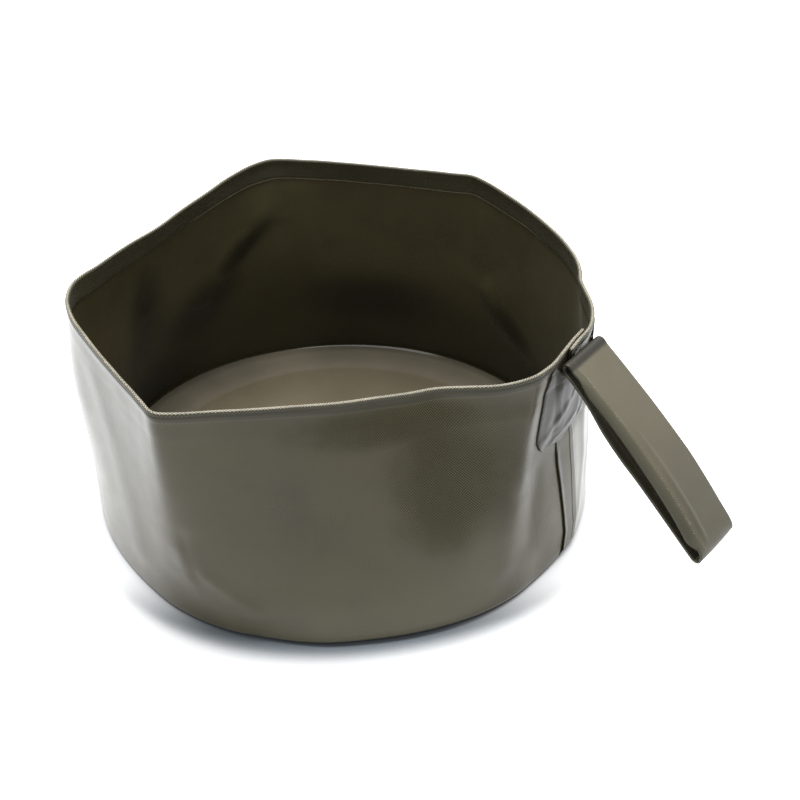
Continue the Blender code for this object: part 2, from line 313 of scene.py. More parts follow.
def make_cloth_material(name, place, cloth_colour, worn_colour, wear, weave, gloss, coat=0.0, shine=0.5):
    """A coated cloth: place is "Object" or "UV", the rest are values or what makes them."""
    material = bpy.data.materials.new(name)
    material.use_nodes = True
    tree = material.node_tree
    shader = tree.nodes["Principled BSDF"]
    texture = add_node(tree, "ShaderNodeTexCoord").outputs[place]
    cloth_colour, wear, weave, coat, shine = (
        source(tree, texture) if callable(source) else source
        for source in (cloth_colour, wear, weave, coat, shine)
    )
    finish = add_node(tree, "ShaderNodeGroup", node_tree=coated_cloth)
    for socket, source in enumerate((texture, cloth_colour, worn_colour, wear, weave, gloss)):
        feed(finish, socket, source)
    feed(shader, "Base Color", finish.outputs["Colour"])
    feed(shader, "Roughness", finish.outputs["Roughness"])
    feed(shader, "Normal", finish.outputs["Normal"])
    feed(shader, "Specular IOR Level", shine)
    feed(shader, "Coat Weight", coat)
    feed(shader, "Coat Roughness", 0.22)
    feed(shader, "Sheen Weight", 0.06)
    feed(shader, "Sheen Roughness", 0.4)
    return material


def finish_piece(name, shape, material, thickness=0.0):
    """Make the object, with the shape's outer face where it is and its thickness behind it."""
    mesh = bpy.data.meshes.new(name)
    shape.to_mesh(mesh)
    shape.free()
    mesh.shade_smooth()
    mesh.materials.append(material)
    piece = add_object(name, mesh)
    if thickness:
        wall = piece.modifiers.new("thickness", "SOLIDIFY")
        wall.thickness = thickness
        wall.offset = -1.0
    return piece


coated_cloth = make_coated_cloth()
disc_step = 0.0025
disc_start = base_radius - foot_width - disc_step
disc_inset = 0.0022
disc_rings = 26
disc_sides = 240
disc_edge_lift = 0.0016
disc_edge_width = 0.0048
disc_lift_turn = radians(121)


def disc_height(share, turn):
    """Height of the disc's upper face, at a share of its radius."""
    radius = share * (base_radius - disc_inset)
    on_foot = ease((radius - disc_start) / disc_step)
    edge = ease((radius - (base_radius - disc_inset - disc_edge_width)) / disc_edge_width)
    place = Vector((cos(turn) * radius, sin(turn) * radius, 0))
    ripple = noise.noise(place * 38.0) * 0.0004 + noise.noise(place * 95.0) * 0.00012
    ripple += 0.00025 * on_foot * noise.noise(Vector((turn * 9.0, 0.0, 3.0)))
    settle = ease((1.0 - share) * 12.0)
    lift = disc_edge_lift * (0.7 + 0.3 * cos(turn - disc_lift_turn))
    return cloth + on_foot * (cloth + weld) + abs(ripple) * settle + edge * edge * lift


disc_shape = bmesh.new()
disc_verts = [disc_shape.verts.new((k / disc_rings, 0, 0)) for k in range(disc_rings + 1)]
disc_edges = [disc_shape.edges.new(pair) for pair in zip(disc_verts, disc_verts[1:])]
bmesh.ops.spin(
    disc_shape,
    geom=disc_verts + disc_edges,
    axis=(0, 0, 1),
    cent=(0, 0, 0),
    steps=disc_sides,
    angle=2 * pi,
    use_merge=True,
)
bmesh.ops.remove_doubles(disc_shape, verts=disc_shape.verts, dist=0.0001)
bmesh.ops.recalc_face_normals(disc_shape, faces=disc_shape.faces)
for vert in disc_shape.verts:
    share = vert.co.length
    turn = atan2(vert.co.y, vert.co.x)
    reach = foot_radius(turn) - disc_inset
    vert.co = Vector((vert.co.x * reach, vert.co.y * reach, disc_height(share, turn)))
if sum(face.normal.z for face in disc_shape.faces) < 0:
    bmesh.ops.reverse_faces(disc_shape, faces=disc_shape.faces)


def disc_wear(tree, place):
    """A little paler over the welded ring."""
    radius = calculate_vector(tree, "LENGTH", place)
    return map_range(tree, radius, (disc_start, disc_start + 2 * disc_step), (0.05, 0.45))


def disc_colour(tree, place):
    """Browner in the middle, greyer over the welded ring, and a painted highlight along the far edge."""
    radius = calculate_vector(tree, "LENGTH", place)
    ring = map_range(tree, radius, (disc_start, disc_start + disc_step))
    colour = mix_colour(tree, ring, (0.158, 0.133, 0.086), (0.190, 0.167, 0.120))
    # Painted highlight: a pale line on the disc's edge, only on its far side.
    edge = map_range(tree, radius, (base_radius - 0.0030, base_radius - 0.0024), (0.0, 0.9))
    far = calculate_vector(tree, "DOT_PRODUCT", place, (cos(disc_lift_turn), sin(disc_lift_turn), 0))
    edge = multiply(tree, edge, map_range(tree, far, (0.113, 0.120)))
    return mix_colour(tree, edge, colour, (0.62, 0.61, 0.57))


floor_cloth = make_cloth_material(
    "floor_cloth", "Object", disc_colour, (0.210, 0.195, 0.160), disc_wear, 0.30, 0.26
)
floor_disc = finish_piece("floor_disc", disc_shape, floor_cloth, thickness=cloth)
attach(floor_disc, "base")
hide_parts("base_disc")

# Wall.
# One strip of the same cloth wrapped once round with its ends lapped and welded under
# the handle. Its lower edge turns in under the floor disc. It leans into a soft rim of
# six corners, and keeps the creases of having been folded flat.
wall_length = 0.1203
rim_level = 0.118
degree = radians(1) * base_radius
hem_depth = 0.0118
bead_radius = 0.00108
bead_lip = 0.0006
bead_step = 2 * bead_radius + weld
layer_step = cloth + weld
lap_settle = 0.018
lap_reach = 0.017
lap_reach_low = 0.0015
wall_columns = 640
foot_rows = 3
bend_rows = 6
wall_rows = 60

rim_line = round_line(
    (3.2, 0.989), (9.0, 0.987), (14.0, 0.996), (17.5, 0.998), (21.5, 0.992), (25.5, 0.976),
    (30.5, 0.952), (35.0, 0.938), (39.5, 0.944), (44.5, 0.947), (52.0, 0.943), (66.0, 0.943),
    (79.0, 0.966), (88.5, 1.001), (93.0, 1.013), (98.5, 0.985), (110.0, 0.957), (123.0, 0.969),
    (135.0, 1.016), (140.0, 1.048), (143.6, 1.064), (148.0, 1.040), (155.5, 0.976), (165.0, 0.907),
    (176.0, 0.869), (187.0, 0.855), (198.0, 0.886), (209.5, 0.943), (217.5, 1.014), (224.0, 1.031),
    (231.0, 1.023), (241.0, 1.004), (252.0, 1.007), (261.5, 1.032), (267.5, 1.058), (271.3, 1.078),
    (275.0, 1.050), (283.0, 0.968), (296.0, 0.868), (308.0, 0.819), (317.0, 0.794), (326.0, 0.799),
    (332.5, 0.815), (338.5, 0.875), (344.0, 0.940), (350.0, 0.980), (356.5, 0.991),
)

# How much higher the rim stands than the leaning wall's length would give: turn, metres.
lift_line = round_line(
    (20.0, 0.0002), (60.0, 0.0006), (100.0, 0.0009), (140.0, 0.0006), (165.0, 0.0012),
    (200.0, 0.0011), (225.0, 0.0006), (250.0, 0.0002), (300.0, 0.0000), (350.0, 0.0000),
)

# The cloth rolls under in a wider bend at the front right: turn, radius of the bend.
bend_line = round_line(
    (20.0, 0.0032), (120.0, 0.0030), (230.0, 0.0030), (296.0, 0.0032), (310.0, 0.0042),
    (326.0, 0.0046), (340.0, 0.0042), (354.0, 0.0034),
)

# The strip's outer end and inner end, up the wall: degrees, height.
outer_end = (
    (4.4, 0.000), (5.6, 0.015), (4.8, 0.025), (3.1, 0.042), (1.8, 0.060), (1.2, 0.075),
    (3.0, 0.095), (5.0, 0.118),
)
inner_end = (
    (9.7, 0.000), (11.1, 0.015), (10.6, 0.025), (9.3, 0.042), (8.2, 0.060), (7.5, 0.075),
    (9.2, 0.095), (13.8, 0.118),
)

# Creases: line up the wall as (degrees, height), half width, depth (out is more than
# zero), sharpness (1 is a sharp crease and 2 a soft swell) and its fade above, if longer.
creases = (
    (
        ((274.3, 0.030), (273.2, 0.047), (272.2, 0.070), (271.2, 0.101), (271.3, 0.116)),
        0.0150, 0.0016, 2.0,
    ),
    (((276.5, 0.034), (274.4, 0.046)), 0.0040, -0.0012, 1.3),
    (((289.0, 0.016), (283.0, 0.024), (277.0, 0.034), (275.0, 0.042)), 0.0060, 0.0013, 1.6),
    (((276.0, 0.020), (274.0, 0.036)), 0.0050, 0.0008, 1.7),
    (((258.0, 0.022), (255.0, 0.048), (250.0, 0.078), (243.0, 0.104)), 0.0110, 0.0006, 2.0),
    (
        ((344.0, 0.024), (345.2, 0.045), (346.8, 0.062), (348.0, 0.080), (349.8, 0.100)),
        0.0070, 0.0012, 2.0,
    ),
    (((351.5, 0.030), (352.6, 0.050), (354.0, 0.064)), 0.0060, -0.0007, 1.9),
    (((348.4, 0.070), (349.2, 0.086), (350.6, 0.100), (352.8, 0.114)), 0.0060, 0.0008, 2.0),
    (((10.4, 0.004), (11.2, 0.020), (10.0, 0.042), (8.9, 0.060), (8.4, 0.070)), 0.0120, 0.0015, 1.2),
    (((165.0, 0.052), (154.0, 0.074), (147.0, 0.086)), 0.0110, -0.0024, 1.8, 0.030),
    (((190.0, 0.078), (189.0, 0.095)), 0.0100, 0.0016, 1.8),
    (((68.6, 0.026), (79.0, 0.040), (86.0, 0.056)), 0.0070, -0.0022, 1.4),
    (((93.0, 0.070), (92.0, 0.112)), 0.0060, 0.0008, 1.6),
    (((132.0, 0.040), (136.0, 0.100)), 0.0100, -0.0012, 1.8),
    (((13.0, 0.020), (15.0, 0.050), (14.0, 0.074)), 0.0040, 0.0007, 1.8),
    (((20.0, 0.030), (21.5, 0.060), (20.0, 0.084)), 0.0045, -0.0007, 1.8),
)

# Broad swells and dents: middle as (degrees, height), half size along and up, depth.
swells = (
    ((228.0, 0.080), (0.030, 0.034), 0.0031),
    ((243.0, 0.048), (0.018, 0.020), 0.0008),
    ((1.0, 0.070), (0.018, 0.020), -0.0016),
    ((325.0, 0.078), (0.030, 0.034), 0.0016),
    ((300.0, 0.060), (0.030, 0.030), -0.0010),
    ((292.0, 0.018), (0.034, 0.010), 0.0010),
    ((119.0, 0.050), (0.044, 0.019), -0.0036),
    ((122.0, 0.092), (0.034, 0.020), 0.0016),
    ((88.0, 0.040), (0.026, 0.020), -0.0036),
    ((60.0, 0.060), (0.026, 0.030), -0.0014),
    ((172.0, 0.036), (0.034, 0.022), 0.0026),
    ((205.0, 0.055), (0.030, 0.026), -0.0026),
    ((28.0, 0.050), (0.022, 0.026), 0.0008),
)
crease_fade = 0.012
crease_reach = 3
swell = 0.00035
swell_rate = 26.0
ends_closer = 0.7

# Below the bead the cloth takes the rim's corners in wider bends.
soft_below = 0.20
soft_reach = 24
soft_step = 4
soft_rim_line = [
    sum(rim_line[(k + j) % line_steps] for j in range(-soft_reach, soft_reach + 1, soft_step))
    / (2 * soft_reach // soft_step + 1)
    for k in range(line_steps)
]


def rim_radius(turn):
    return base_radius * on_line(rim_line, turn) - bead_lip


def rim_height(turn):
    """The wall keeps its length up the slant, so it stands lower where it leans."""
    upright = sqrt(wall_length**2 - (rim_radius(turn) - base_radius) ** 2)
    return upright + on_line(lift_line, turn)


def up_wall(line, height):
    """Degrees of a line up the wall at a height, held still past its ends."""
    if height <= line[0][1]:
        return line[0][0]
    for (low_at, low), (high_at, high) in zip(line, line[1:]):
        if height <= high:
            return low_at + (high_at - low_at) * (height - low) / (high - low)
    return line[-1][0]


def fold_depth(folds, fade, reach, turn, height):
    """How deep a table's folds are at a place. Past reach times its half width, a fold is nothing."""
    depth = 0.0
    for line, width, full, sharpness, *above in folds:
        low = (height - line[0][1]) / fade + 1
        high = (line[-1][1] - height) / (above[0] if above else fade) + 1
        if low <= 0 or high <= 0:
            continue
        away = (degrees(turn) - up_wall(line, height) + 180) % 360 - 180
        away = abs(radians(away)) * base_radius / width
        if away < reach:
            depth += full * ease(low) * ease(high) * exp(-(away**sharpness))
    return depth


def crease_depth(turn, height):
    depth = fold_depth(creases, crease_fade, crease_reach, turn, height)
    for (at, middle), (across, up), full in swells:
        aside = radians((degrees(turn) - at + 180) % 360 - 180) * base_radius / across
        away = aside**2 + ((height - middle) / up) ** 2
        if away < crease_reach**2:
            depth += full * exp(-away)
    return depth


def wall_radius(turn, height):
    """From foot to rim in a straight lean, with the creases and a slight waviness."""
    bend = on_line(bend_line, turn)
    rise = min(max((height - bend) / (rim_height(turn) - bend), 0.0), 1.0)
    start = foot_radius(turn)
    place = Vector((cos(turn), sin(turn), height / base_radius * 1.2)) * base_radius
    wave = noise.noise(place * swell_rate) * swell + noise.noise(place * 60.0) * swell / 4
    loose = sin(pi * rise) ** 0.7 if 0 < rise < 1 else 0.0
    soft = base_radius * on_line(soft_rim_line, turn) - bead_lip
    rim = soft + (rim_radius(turn) - soft) * ease((rise - soft_below) / (1 - soft_below))
    return start + (rim - start) * rise + crease_depth(turn, height) + wave * loose


def wall_point(turn, height, out):
    """A point out from the wall's outer face, at a height above the table."""
    step = radians(0.4)
    radii = [wall_radius(turn + k * step, height) for k in (-1, 0, 1)]
    slope = (radii[2] - radii[0]) / (2 * step)
    radial = Vector((cos(turn), sin(turn), 0))
    along = Vector((-radial.y, radial.x, 0))
    normal = (radial * radii[1] - along * slope).normalized()
    return radial * radii[1] + normal * out + Vector((0, 0, height))


def down_lap(below, high, low):
    """A value that is high at the hem and low where the lap has settled, further down."""
    return high + (low - high) * ease((below - hem_depth) / lap_settle)


def lap_step(below):
    """Step between the lapped runs: a whole bead at the rim, one layer lower down."""
    return down_lap(below, bead_step, layer_step)


def lap_shift(turn, height):
    """How far the strip bends aside for its lap: out at its outer end, in at its inner."""
    below = rim_height(turn) - height
    reach = down_lap(below, lap_reach, lap_reach_low)
    past = radians(up_wall(inner_end, height))
    before = radians(up_wall(outer_end, height)) + 2 * pi
    outer = 1 - ease((turn - past) * base_radius / reach)
    inner = ease(1 + (turn - before) * base_radius / reach)
    return lap_step(below) / 2 * (outer - inner)


def strip_turn(share, height):
    """Turn at a share of the strip's columns, which stand closer near its two ends."""
    start = radians(up_wall(outer_end, height))
    finish = radians(up_wall(inner_end, height)) + 2 * pi
    share -= ends_closer * sin(2 * pi * share) / (2 * pi)
    return start + (finish - start) * share


fold_step = 0.00022
fold_below = 0.0046
fold_ease = 0.0009
hem_step = 0.00016
hem_ease = 0.0012
hem_deeper = 0.0035
hem_deeper_turn = radians(150)


def hem_ridge(turn, height):
    """The cord's fold and the hem's welded edge show through the wall as low steps."""
    below = rim_height(turn) - height
    line = hem_depth + hem_deeper * ease((sin(turn + hem_deeper_turn) - 0.5) * 2)
    fold = fold_step * (1 - ease((below - fold_below) / fold_ease + 0.5))
    return fold + hem_step * (1 - ease((below - line) / hem_ease + 0.5))


def lay_cloth(places, columns, rows):
    """A grid moved to places(column share, row), with one or two UV maps in metres."""
    shape = bmesh.new()
    bmesh.ops.create_grid(shape, x_segments=columns, y_segments=rows, size=1.0)
    laid = {}
    for vert in shape.verts:
        column = round((vert.co.x + 1) / 2 * columns)
        row = round((vert.co.y + 1) / 2 * rows)
        vert.co, *laid[vert.index] = places(column / columns, row)
    maps = [shape.loops.layers.uv.new(name) for name, _ in zip(("cloth", "edges"), laid[0])]
    for face in shape.faces:
        for loop in face.loops:
            for layer, place in zip(maps, laid[loop.vert.index]):
                loop[layer].uv = place
    return shape


wall_row_count = foot_rows + bend_rows + wall_rows
bend_scale = 0.01
end_curl = 0.0006
end_curl_width = 0.0035
end_curl_top = 0.064
end_curl_fade = 0.008


def wall_place(share, row):
    """Rows run from the inner edge under the floor disc, round the bend and up the wall."""
    if row <= foot_rows + bend_rows:
        turn = strip_turn(share, 0.0)
        edges = ((turn - strip_turn(0, 0.0)) * base_radius, wall_length)
        bend = on_line(bend_line, turn)
        middle = foot_radius(turn) - bend
        shift = lap_shift(turn, bend)
        radial = Vector((cos(turn), sin(turn), 0))
        if row < foot_rows:
            out = base_radius - foot_width
            out += (middle - out) * row / foot_rows
            return radial * out, (turn * base_radius, out - base_radius), edges
        angle = pi / 2 * ((row - foot_rows) / bend_rows - 1)
        edges = (edges[0], wall_length - angle * bend_scale)
        point = radial * (middle + bend * cos(angle))
        point += radial * shift * (1 + sin(angle))
        point.z = bend + bend * sin(angle)
        return point, (turn * base_radius, bend * (angle + pi / 2) - bend), edges
    up = (row - foot_rows - bend_rows) / wall_rows
    turn = strip_turn(share, rim_level * up)
    bend = on_line(bend_line, turn)
    top = rim_height(turn) - 1.4 * bead_radius
    height = bend + (top - bend) * up
    turn = strip_turn(share, height)
    from_end = (turn - strip_turn(0, height)) * base_radius
    curl = end_curl * (1 - ease(from_end / end_curl_width))
    curl *= 1 - ease((height - end_curl_top) / end_curl_fade)
    out = lap_shift(turn, height) + hem_ridge(turn, height) + curl
    edges = (from_end, rim_height(turn) - height)
    return wall_point(turn, height, out), (turn * base_radius, height), edges


def wall_wear(tree, place):
    """Faint rubbed patches."""
    rubbed = make_noise(tree, place, 14.0, 3.0)
    return multiply(tree, rubbed, 0.5)


# Where the coat is thin the weave shows through: middle as (turn, height), half size.
thin_places = (
    ((334.5, 0.074), (0.032, 0.032)),
    ((322.0, 0.105), (0.050, 0.010)),
)


def thin_coat(tree, place):
    """How much the weave shows: everywhere a little, and clearly in the thin places."""
    uneven = make_noise(tree, place, 30.0, 3.0)
    shown = map_range(tree, uneven, (0.45, 0.65), (0.25, 0.6))
    for (turn, height), halves in thin_places:
        away = []
        for axis, at, half in zip(split(tree, place), (radians(turn) * base_radius, height), halves):
            off = calculate(tree, "DIVIDE", calculate(tree, "SUBTRACT", axis, at), half)
            away.append(multiply(tree, off, off))
        edge = calculate(tree, "MULTIPLY_ADD", uneven, 2.0, calculate(tree, "ADD", *away))
        spot = map_range(tree, edge, (0.6, 3.8), (1.6, 0.0))
        shown = calculate(tree, "MAXIMUM", shown, spot)
    return shown


# Painted shade on the inside in its deepest folds: middle as (turn, height), half size, slant.
painted_fold_shade = (
    ((154.0, 0.074), (0.034, 0.009), -34.0),
    ((166.0, 0.048), (0.034, 0.020), -34.0),
    ((119.0, 0.036), (0.046, 0.020), 0.0),
    ((190.0, 0.070), (0.022, 0.034), 0.0),
    ((186.0, 0.014), (0.050, 0.018), 0.0),
    ((77.0, 0.041), (0.028, 0.009), 34.0),
    ((66.0, 0.016), (0.030, 0.014), 0.0),
)


def line_at(tree, value, middle, half, strength):
    """A mask along the line where a value is near its middle."""
    away = calculate(tree, "ABSOLUTE", calculate(tree, "SUBTRACT", value, middle))
    return map_range(tree, away, (0.5 * half, 1.3 * half), (strength, 0.0))


def read_edges(tree):
    """The map "edges": on the wall, metres from the strip's outer end and below its rim."""
    return split(tree, add_node(tree, "ShaderNodeUVMap", uv_map="edges").outputs[0])


def outwards(tree):
    """More than zero on the wall's outer face and less on its inner face."""
    place = add_node(tree, "ShaderNodeTexCoord").outputs["Object"]
    normal = add_node(tree, "ShaderNodeNewGeometry").outputs["True Normal"]
    return calculate_vector(tree, "DOT_PRODUCT", place, normal)


def painted_wall_shade(tree):
    """Painted shade where the cloth also shines less: the line over the inner end, and the roll under the
    foot.
    """
    from_end, below = read_edges(tree)
    middle = map_range(tree, below, (0.060, 0.100), (0.0110, 0.0088))
    over_inner = line_at(tree, from_end, middle, 0.0005, 0.9)
    roll = (wall_length + bend_scale * 0.55, wall_length + bend_scale * 0.72)
    return calculate(tree, "MAXIMUM", over_inner, map_range(tree, below, roll, (0.0, 1.0)))


def thin_dull(tree, place):
    """The cloth shines less where its coat is thin."""
    return map_range(tree, thin_coat(tree, place), (0.4, 1.7), (1.0, 0.45))


def wall_coat(tree, place):
    """The shiny side of the cloth is outside. The weld has left the lap duller."""
    from_end, below = read_edges(tree)
    coated = map_range(tree, outwards(tree), (-0.01, 0.01), (0.0, 0.60))
    over_lap = map_range(tree, from_end, (0.010, 0.016), (0.2, 1.0))
    before_lap = map_range(tree, from_end, (0.755, 0.772), (1.0, 0.2))
    coated = multiply(tree, coated, calculate(tree, "MINIMUM", over_lap, before_lap))
    coated = multiply(tree, coated, thin_dull(tree, place))
    return multiply(tree, coated, calculate(tree, "SUBTRACT", 1.0, painted_wall_shade(tree)))


def wall_shine(tree, place):
    """How strongly the cloth under the coat shines: less at the painted shade lines and thin places."""
    shine = calculate(tree, "MULTIPLY_ADD", painted_wall_shade(tree), -0.36, 0.38)
    return multiply(tree, shine, thin_dull(tree, place))


wall_plain = (0.086, 0.072, 0.025)
wall_low = (0.106, 0.091, 0.041)
wall_inside_light = (0.140, 0.123, 0.062)
wall_fold_shade = (0.012, 0.010, 0.005)
wall_step_highlight = (0.125, 0.116, 0.064)
wall_bead_shade = (0.044, 0.040, 0.016)
wall_inside_shade = (0.030, 0.024, 0.009)
wall_cut_and_shade = (0.014, 0.012, 0.008)


def wall_colour(tree, place):
    """Outside: paler low down, with painted shade in the bead's channel, a painted highlight on the cord's
    step and painted shade lines, and dark at the cut end. Inside: painted shade, deeper low down and in
    the folds, and painted light on one side.
    """
    from_end, below = read_edges(tree)
    # Painted shade in the channel under the bead.
    channel = map_range(tree, below, (0.0040, 0.0050), (0.8, 0.0))
    low = map_range(tree, below, (0.070, 0.112))
    colour = mix_colour(tree, low, wall_plain, wall_low)
    colour = mix_colour(tree, channel, colour, wall_bead_shade)
    # Painted highlight on the low step where the cord's fold shows through.
    colour = mix_colour(tree, line_at(tree, below, 0.0052, 0.0004, 0.45), colour, wall_step_highlight)
    # Painted shade over the inner end and on the roll under the foot.
    colour = mix_colour(tree, painted_wall_shade(tree), colour, wall_cut_and_shade)
    # The cut end is dark: partly its frayed fibres, partly painted shade in the crevice of the lap's step.
    fray = make_noise(tree, place, 900.0, 2.0)
    rough = map_range(tree, fray, (0.40, 0.62), (0.0, 0.0009))
    frayed = map_range(tree, fray, (0.42, 0.58), (0.62, 1.0))
    cut = map_range(tree, calculate(tree, "ADD", from_end, rough), (0.0034, 0.0043), (1.0, 0.0))
    colour = mix_colour(tree, multiply(tree, cut, frayed), colour, wall_cut_and_shade)
    inside = map_range(tree, outwards(tree), (-0.01, 0.01), (1.0, 0.0))
    round_wall, up = split(tree, place)
    # Painted shade on the inside: darker low down and in the folds.
    dark = map_range(tree, up, (0.020, 0.095), (0.80, 0.10))
    deep = 0.0
    for (turn, height), (across, high), slant in painted_fold_shade:
        middle = (radians(turn) * base_radius, height, 0)
        turned, halves = (0, 0, radians(slant)), (across, high, 1)
        spot = run_node(tree, "ShaderNodeMapping", place, middle, turned, halves, vector_type="TEXTURE")
        fold = map_range(tree, calculate_vector(tree, "LENGTH", spot), (0.15, 1.15), (0.85, 0.0))
        deep = calculate(tree, "MAXIMUM", deep, fold)
    # Painted light: the inside wall is lighter up to turn 172 degrees, fading out by 198.
    lit = map_range(tree, round_wall, (172 * degree, 198 * degree), (0.9, 0.0))
    for share, shade in ((lit, wall_inside_light), (dark, wall_inside_shade), (deep, wall_fold_shade)):
        colour = mix_colour(tree, multiply(tree, inside, share), colour, shade)
    return colour


wall_shape = lay_cloth(wall_place, wall_columns, wall_row_count)
wall_worn = (0.118, 0.102, 0.056)
wall_cloth = make_cloth_material(
    "wall_cloth", "UV", wall_colour, wall_worn, wall_wear, thin_coat, 0.27, wall_coat, wall_shine
)
wall_strip = finish_piece("wall_strip", wall_shape, wall_cloth, thickness=cloth)
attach(wall_strip, "base")
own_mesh(wall_strip)
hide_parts("wall_panel", "wall_foot")

# Hem and cord.
# The wall's top edge is folded in over a thin cord and welded down inside, so the rim
# is a round bead. Its coat is rubbed pale along the top. The cut edge of the fold shows
# inside the basin.
hem_columns = 480
bead_arc_rows = 11
leg_rows = 6
curl_start = radians(-62)
neck = radians(204)
neck_drop = 0.0038
leg_out = -2 * cloth - 0.8 * weld
tip_length = 1.2 * bead_radius
hem_row_count = bead_arc_rows + leg_rows


def hem_profile(row, depth, size):
    """(out, up) of the hem's outer face from the rim's top, and its place on the cloth."""
    middle = (bead_lip - bead_radius, -bead_radius)
    if row <= bead_arc_rows:
        angle = curl_start + (neck - curl_start) * row / bead_arc_rows
        out = middle[0] + bead_radius * size * cos(angle)
        return out, middle[1] + bead_radius * size * sin(angle), bead_radius * (angle - curl_start)
    share = (row - bead_arc_rows) / leg_rows
    neck_out = middle[0] + bead_radius * cos(neck)
    neck_up = middle[1] + bead_radius * sin(neck)
    up = neck_up + (-depth - neck_up) * share**1.2
    settle = ease((neck_up - up) / (neck_drop + neck_up))
    length = bead_radius * (neck - curl_start) + (hem_depth + neck_up) * share**1.2
    return neck_out + (leg_out - neck_out) * settle, up, length


def hem_place(share, row):
    """Rows run from the bead's outer side over its top and down inside. Its ends are rounded."""
    ends = strip_turn(0, rim_level), strip_turn(1, rim_level)
    turn = strip_turn(share, rim_level)
    top = rim_height(turn)
    depth = hem_depth + 0.0005 * noise.noise(Vector((turn * 6.0, 1.0, 2.0)))
    to_end = min(turn - ends[0], ends[1] - turn) * base_radius
    size = sqrt(max(1 - max(1 - to_end / tip_length, 0.0) ** 2, 0.04))
    out, up, length = hem_profile(row, depth, size)
    return wall_point(turn, top + up, out + lap_shift(turn, top + up)), (turn * base_radius, length)


def hem_wear(tree, place):
    """Wear on the outer side and top of the bead, and on the cut edge inside."""
    round_rim, along = split(tree, place)
    crown = bead_radius * (radians(78) - curl_start)
    rubbed = calculate(tree, "ABSOLUTE", calculate(tree, "SUBTRACT", along, crown))
    rubbed = map_range(tree, rubbed, (0.35 * bead_radius, 1.15 * bead_radius), (0.86, 0.0))
    cut = bead_radius * (neck - curl_start) + hem_depth + bead_radius * (sin(neck) - 1)
    cut_edge = map_range(tree, along, (cut - 0.0010, cut - 0.0006), (0.0, 0.95))
    right_end = map_range(tree, round_rim, (58 * degree, 74 * degree), (0.3, 1.0))
    left_end = map_range(tree, round_rim, (166 * degree, 182 * degree), (1.0, 0.3))
    fades = calculate(tree, "MINIMUM", right_end, left_end)
    return calculate(tree, "MAXIMUM", rubbed, multiply(tree, cut_edge, fades))


hem_shape = lay_cloth(hem_place, hem_columns, hem_row_count)
hem_cloth = make_cloth_material(
    "hem_cloth", "UV", (0.100, 0.092, 0.052), (0.54, 0.49, 0.38), hem_wear, 1.3, 0.30
)
rim_hem = finish_piece("hem", hem_shape, hem_cloth, thickness=cloth)
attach(rim_hem, "rim")
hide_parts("rim_hem")

cord_radius = bead_radius - cloth - weld / 2
cord_sides = 8
cord_inset = 0.002


def cord_place(share, row):
    turn = strip_turn(cord_inset + (1 - 2 * cord_inset) * share, rim_level)
    angle = 2 * pi * row / cord_sides
    out = bead_lip - bead_radius + cord_radius * cos(angle)
    up = -bead_radius - cord_radius * sin(angle)
    height = rim_height(turn) + up
    point = wall_point(turn, height, out + lap_shift(turn, rim_height(turn) - bead_radius))
    return point, (turn * base_radius, row * cord_radius)


def twist_colour(tree, place):
    """Plies of the cord, wound at a slant."""
    plies = add_node(tree, "ShaderNodeTexWave", bands_direction="DIAGONAL")
    feed(plies, "Vector", place)
    feed(plies, "Scale", 900.0)
    return plies.outputs["Fac"]


cord_shape = lay_cloth(cord_place, hem_columns, cord_sides)
bmesh.ops.remove_doubles(cord_shape, verts=cord_shape.verts, dist=0.00002)
bmesh.ops.holes_fill(cord_shape, edges=[e for e in cord_shape.edges if e.is_boundary], sides=0)
bmesh.ops.recalc_face_normals(cord_shape, faces=cord_shape.faces)
cord_fibre = make_cloth_material(
    "cord_fibre", "UV", (0.40, 0.37, 0.30), (0.52, 0.49, 0.42), twist_colour, 0.6, 0.7
)
hem_cord = finish_piece("hem_cord", cord_shape, cord_fibre)
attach(hem_cord, "rim")
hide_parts("rim_cord")

# Strap ends and patch.
# The handle's strap is doubled, its two ends lie on the wall over the lap, and a patch
# of glossy cloth is welded over them. The weld has pressed the patch onto the strap,
# pulled it into slanting wrinkles and left a ragged bead of coating round its edge,
# drawn black together with painted shade in the gap under the edge.
strap_thickness = 0.0011
ends_low, ends_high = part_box("strap_ends")
strap_near = ends_low.y
strap_far = ends_high.y
ends_bottom = ends_low.z
ends_top = ends_high.z
ends_columns = 16
ends_rows = 16
patch_lead = 0.010
patch_lead_low = 0.003


def patch_rest(turn, height):
    """How far the lapped wall stands out under the patch."""
    below = rim_height(turn) - height
    reach = down_lap(below, lap_reach, lap_reach_low)
    lead = down_lap(below, patch_lead, patch_lead_low)
    after = 1 - ease((turn - radians(up_wall(inner_end, height))) * base_radius / reach)
    before = ease(1 + (turn - radians(up_wall(outer_end, height))) * base_radius / lead)
    return lap_step(below) / 2 * min(after, before) + hem_ridge(turn, height)


def ends_place(share, row):
    turn = asin((strap_near + (strap_far - strap_near) * share) / base_radius)
    height = ends_bottom + (ends_top - ends_bottom) * row / ends_rows
    point = wall_point(turn, height, patch_rest(turn, height) + strap_thickness + weld)
    return point, (share * (strap_far - strap_near), height)


ends_shape = lay_cloth(ends_place, ends_columns, ends_rows)
strap_colour = (0.176, 0.158, 0.104)
strap_worn = (0.40, 0.37, 0.30)
strap_ends_cloth = make_cloth_material(
    "strap_ends_cloth", "UV", strap_colour, strap_worn, 0.3, 0.6, 0.38
)
strap_ends = finish_piece("strap_tails", ends_shape, strap_ends_cloth, thickness=strap_thickness)
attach(strap_ends, "base")
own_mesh(strap_ends)
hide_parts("strap_ends")

